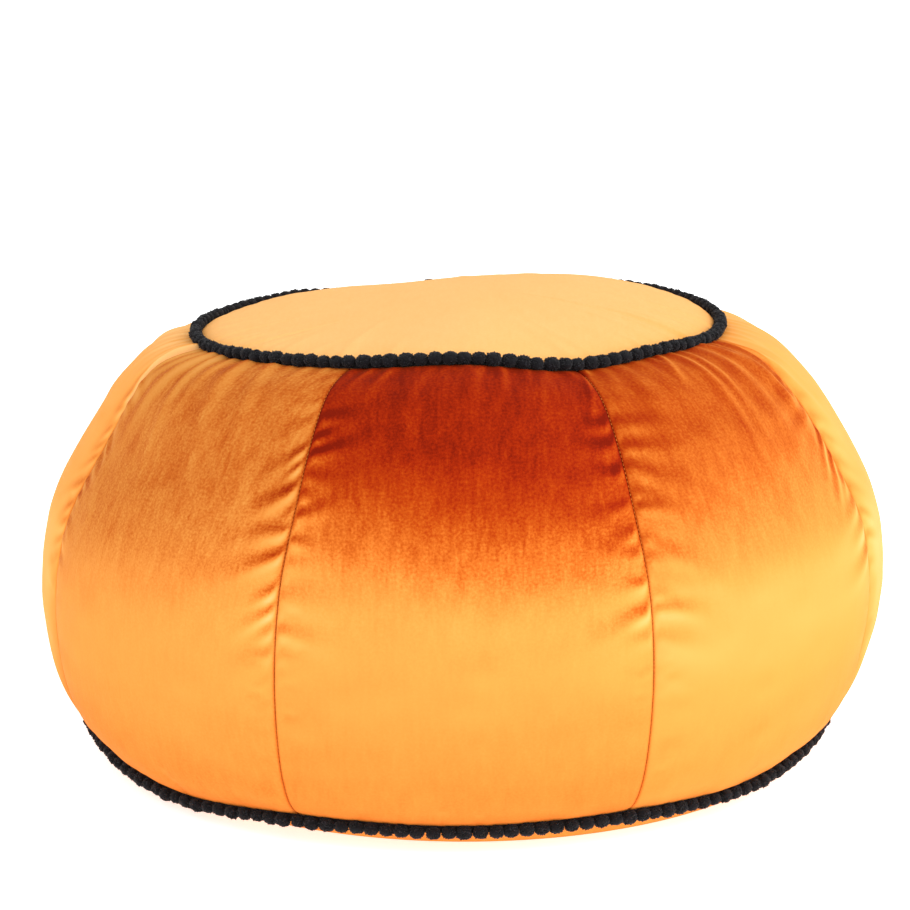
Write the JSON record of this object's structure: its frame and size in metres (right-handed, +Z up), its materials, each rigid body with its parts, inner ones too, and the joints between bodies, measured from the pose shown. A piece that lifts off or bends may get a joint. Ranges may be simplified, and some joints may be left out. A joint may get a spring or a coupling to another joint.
{
  "type": "round yoga cushion",
  "caption": "Round filled floor cushion in velvet, with a crowned top, bulging side panels and pompom trim sewn into its upper and lower ring seams.",
  "frame": {"origin": "centre of the base, on the floor that the cushion stands on", "axes": "+Z up through the crowned top, -Y towards the front that the picture shows, +X to the right of that view"},
  "size_m": [0.6003, 0.6003, 0.3155],
  "materials": {
    "velvet": "burnt orange velvet, deep red-orange where its pile points away and pale amber where it catches the light",
    "pompom_yarn": "matt charcoal black yarn, clipped into small dense pompoms"
  },
  "bodies": {
    "root": {"top_panel": "velvet", "side_panel_1": "velvet", "side_panel_2": "velvet", "side_panel_3": "velvet", "side_panel_4": "velvet", "side_panel_5": "velvet", "side_panel_6": "velvet", "side_panel_7": "velvet", "side_panel_8": "velvet", "base_panel": "velvet", "trim_top": "pompom_yarn", "trim_bottom": "pompom_yarn"}
  },
  "joints": []
}
